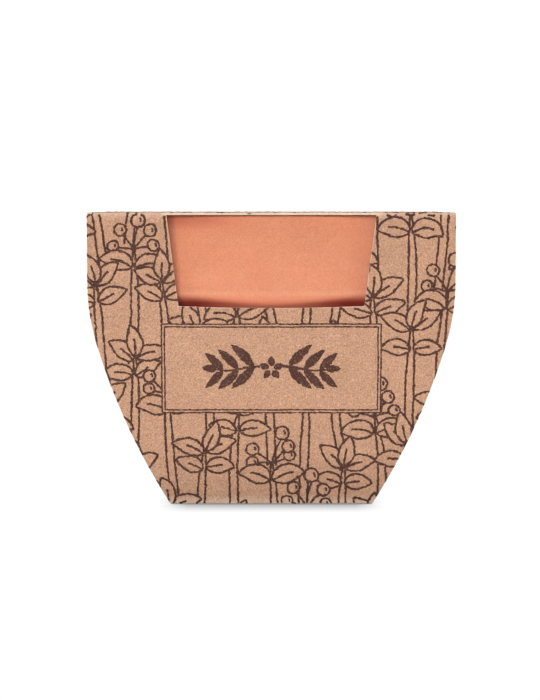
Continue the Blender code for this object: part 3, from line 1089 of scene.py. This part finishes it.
def clay_material():
    """Matt fired clay with a faint pale bloom, fine grit and small pits, with shade painted under its rim and
    a highlight painted along its band's lower edge.
    """
    material, tree, shader = new_material("fired_clay", 0.82, 0.2)
    shader.inputs["Diffuse Roughness"].default_value = 0.9
    cloud = grain(tree, 11 * MM, 4.0, 0.6)
    bloom = scaled(tree, grain(tree, 5 * MM, 4.0, 0.65), 0.0, 0.22, 0.5, 0.75)
    grit = grain(tree, 0.38 * MM, 3.0, 0.65)
    turning = grain(tree, 2.2 * MM, 3.0, 0.6, stretch=(0.12, 0.12, 1.0))
    strength = times(
        tree,
        scaled(tree, cloud, 0.975, 1.025),
        scaled(tree, grit, 0.88, 1.12),
        scaled(tree, turning, 0.98, 1.02),
    )
    shade = mixed(tree, bloom, tinted(tree, CLAY, strength), CLAY_BLOOM_AND_HIGHLIGHT)
    cells = add(tree, "TexVoronoi", {"Vector": place_node(tree), "Scale": 1 / (2.6 * MM)})
    pit = scaled(tree, cells.outputs["Distance"], 1.0, 0.0, 0.04, 0.12)
    shade = mixed(tree, times(tree, pit, 0.35), shade, CLAY_PIT)
    # A highlight painted along the rim band's lower edge
    painted_highlight = times(tree, marked(tree, "painted_highlight"), scaled(tree, cloud, 0.1, 0.5))
    shade = mixed(tree, painted_highlight, shade, CLAY_BLOOM_AND_HIGHLIGHT)
    # Painted shade, in two steps towards a deep red-brown
    painted_shade = marked(tree, "painted_shade")
    shade = mixed(tree, painted_shade, shade, CLAY_PAINTED_SHADE)
    shade = mixed(tree, times(tree, painted_shade, painted_shade, 0.75), shade, CLAY_PAINTED_DEEP_SHADE)
    relief = calculated(tree, "ADD", grit, times(tree, pit, -1.2))
    relief = calculated(tree, "ADD", relief, times(tree, turning, 0.8))
    dress(tree, shader, shade, relief, 0.3, 0.08 * MM)
    return material


def fibre_material():
    material, tree, shader = new_material("plant_fibre", 0.95, 0.15)
    strands = grain(tree, 0.5 * MM, 4.0, 0.7, stretch=(1.0, 0.25, 1.0))
    crumbs = grain(tree, 1.4 * MM, 3.0, 0.7)
    shade = mixed(tree, scaled(tree, strands, 0, 1, 0.35, 0.7), SOIL_DARK, SOIL_LIGHT)
    shade = tinted(tree, shade, scaled(tree, crumbs, 0.7, 1.3))
    dress(tree, shader, shade, strands, 0.8, 0.3 * MM)
    return material


def paper_material():
    material, tree, shader = new_material("sachet_paper", 0.75, 0.3)
    pulp = grain(tree, 0.5 * MM, 3.0, 0.6)
    cloud = grain(tree, 6 * MM, 3.0)
    strength = times(tree, scaled(tree, pulp, 0.95, 1.05), scaled(tree, cloud, 0.96, 1.03))
    shade = tinted(tree, PAPER, strength)
    dress(tree, shader, shade, pulp, 0.2, 0.04 * MM)
    return material


# Studio


def stage_plane(name, height):
    """Large plane with an emission that its caller sets, and no other light of its own."""
    bpy.ops.mesh.primitive_plane_add(size=8.0, location=(0, 0, height))
    plane = bpy.context.object
    plane.name = name
    material, tree, shader = new_material(name, 0.9, 0.0)
    shader.inputs["Base Color"].default_value = (0.0, 0.0, 0.0, 1.0)
    shader.inputs["Emission Color"].default_value = (1.0, 1.0, 1.0, 1.0)
    plane.data.materials.append(material)
    return plane, tree, shader


def from_middle(tree, axis):
    """Distance from the plane through the middle of the part, along an axis."""
    place = add(tree, "SeparateXYZ", {0: place_node(tree)}).outputs[axis]
    return calculated(tree, "ABSOLUTE", place)


def build_floor():
    """White glowing floor, with a contact shadow painted into its glow from ambient occlusion that fades out
    to the sides of the part. It lights nothing.
    """
    floor, tree, shader = stage_plane("studio_floor", 0.0)
    # Painted contact shadow from ambient occlusion
    contact = add(tree, "AmbientOcclusion", {"Distance": CONTACT_REACH}, samples=12).outputs["AO"]
    open_floor = scaled(tree, from_middle(tree, "X"), 0.0, 1.0, *CONTACT_SIDES)
    seen = mixed(tree, open_floor, contact, (1.0, 1.0, 1.0))
    tree.links.new(times(tree, seen, FLOOR_GLOW), shader.inputs["Emission Strength"])
    floor.visible_diffuse = False


def build_fill():
    """Light that the floor throws back up at the part. The camera doesn't see it."""
    fill, tree, shader = stage_plane("floor_fill", -1.0 * MM)
    away = add(tree, "VectorMath", {0: place_node(tree)}, operation="LENGTH").outputs["Value"]
    near = scaled(tree, from_middle(tree, "Y"), 0.0, 1.0, *FILL_NEAR)
    far = scaled(tree, away, 1.0, 0.0, *FILL_FAR)
    shader.inputs["Emission Color"].default_value = FILL_COLOUR
    tree.links.new(times(tree, near, far, FILL), shader.inputs["Emission Strength"])
    fill.visible_camera = False
    fill.visible_glossy = False


def add_light(name, kind, energy, place, direction):
    """A light at a place that shines along a direction."""
    light = bpy.data.lights.new(name, kind)
    light.energy = energy
    obj = bpy.data.objects.new(name, light)
    obj.location = place
    obj.rotation_euler = Vector(direction).to_track_quat("-Z", "Y").to_euler()
    bpy.context.scene.collection.objects.link(obj)
    return light


def soft_light(name, strength, size, round_to):
    """Wide soft light a little above the part, turned round to a side of it in degrees from the front."""
    level = math.cos(SOFT_LIGHT_ELEVATION)
    turn = math.radians(round_to)
    away = Vector((level * math.sin(turn), -level * math.cos(turn), math.sin(SOFT_LIGHT_ELEVATION)))
    place = Vector((0, 0, SLEEVE_HEIGHT / 2)) + away * SOFT_LIGHT_DISTANCE
    light = add_light(name, "AREA", strength * math.pi**2 * SOFT_LIGHT_DISTANCE**2, place, -away)
    light.shape = "RECTANGLE"
    light.size, light.size_y = size


def top_light():
    """Broad soft light from overhead, tilted a little to the front."""
    down = (0.0, math.sin(TOP_LIGHT_TILT), -math.cos(TOP_LIGHT_TILT))
    light = add_light("overhead", "SUN", TOP_LIGHT * math.pi, (0, 0, 0), down)
    light.angle = TOP_LIGHT_ANGLE


def build_world():
    world = bpy.data.worlds.new("white_studio")
    bpy.context.scene.world = world
    world.use_nodes = True
    tree = world.node_tree
    background = tree.nodes["Background"]
    background.inputs["Color"].default_value = (1.0, 1.0, 1.0, 1.0)
    seen = add(tree, "LightPath").outputs["Is Camera Ray"]
    strength = scaled(tree, seen, DOME, SEEN_BACKGROUND, 0.0, 1.0)
    tree.links.new(strength, background.inputs["Strength"])


def build_camera():
    camera = bpy.data.cameras.new("camera")
    camera.sensor_width = 36.0
    camera.lens = CAMERA_LENS
    camera.clip_start = 0.01
    camera.clip_end = 20.0
    obj = bpy.data.objects.new("camera", camera)
    obj.location = CAMERA_PLACE
    obj.rotation_euler = (math.pi / 2 - CAMERA_PITCH, 0.0, 0.0)
    bpy.context.scene.collection.objects.link(obj)
    bpy.context.scene.camera = obj


def main():
    build_camera()
    build_world()
    build_floor()
    build_fill()
    for light in SOFT_LIGHTS:
        soft_light(*light)
    top_light()
    bpy.context.scene.view_settings.view_transform = "Standard"

    sleeve = build_sleeve(kraft_material(), cut_edge_material())
    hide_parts("sleeve")
    pot = build_pot(clay_material())
    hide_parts("pot")
    tablet = build_tablet(fibre_material())
    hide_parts("soil_tablet")
    sachet = build_sachet(paper_material())
    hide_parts("seed_sachet")
    ink = ink_material()
    front_print = build_print("print_front_and_top", 11, FRONT_FOLD, front_distance, True, ink)
    back_print = build_print("print_back", 14, BACK_FOLD, back_distance, False, ink)
    for piece, slot in (
        (sleeve, "kraft_card"),
        (pot, "clay"),
        (tablet, "growing_medium"),
        (sachet, "sachet_paper"),
        (front_print, "kraft_card"),
        (back_print, "kraft_card"),
    ):
        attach(piece, "root")


main()
